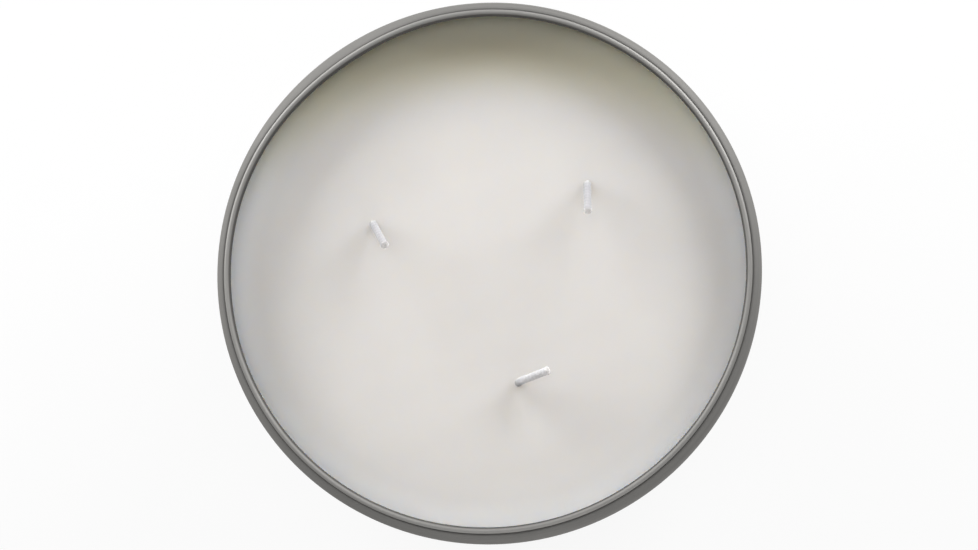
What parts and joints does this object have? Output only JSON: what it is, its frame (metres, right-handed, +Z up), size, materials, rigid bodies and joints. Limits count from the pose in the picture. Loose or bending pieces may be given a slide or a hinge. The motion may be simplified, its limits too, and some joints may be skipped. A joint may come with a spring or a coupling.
{
  "type": "citronella candle",
  "caption": "Outdoor candle: a shallow spun steel bowl with a curled rim, filled with pale wax and set with short braided wicks.",
  "frame": {"origin": "centre of the base, on the surface that the bowl stands on", "axes": "+Z up along the axis of the bowl, +X to the right and +Y away in the picture"},
  "size_m": [0.2, 0.2, 0.0723],
  "materials": {
    "bowl_steel": "satin, spun",
    "wax": "smooth wax, slightly translucent",
    "wick_cotton": "waxed cotton braid",
    "tab_steel": "tinned",
    "glue": "set adhesive"
  },
  "bodies": {
    "root": {"bowl": "bowl_steel", "wax": "wax", "wick_1": "wick_cotton", "wick_2": "wick_cotton", "wick_3": "wick_cotton", "wick_tab_1": "tab_steel", "wick_tab_2": "tab_steel", "wick_tab_3": "tab_steel", "glue_dot_1": "glue", "glue_dot_2": "glue", "glue_dot_3": "glue"}
  },
  "joints": []
}
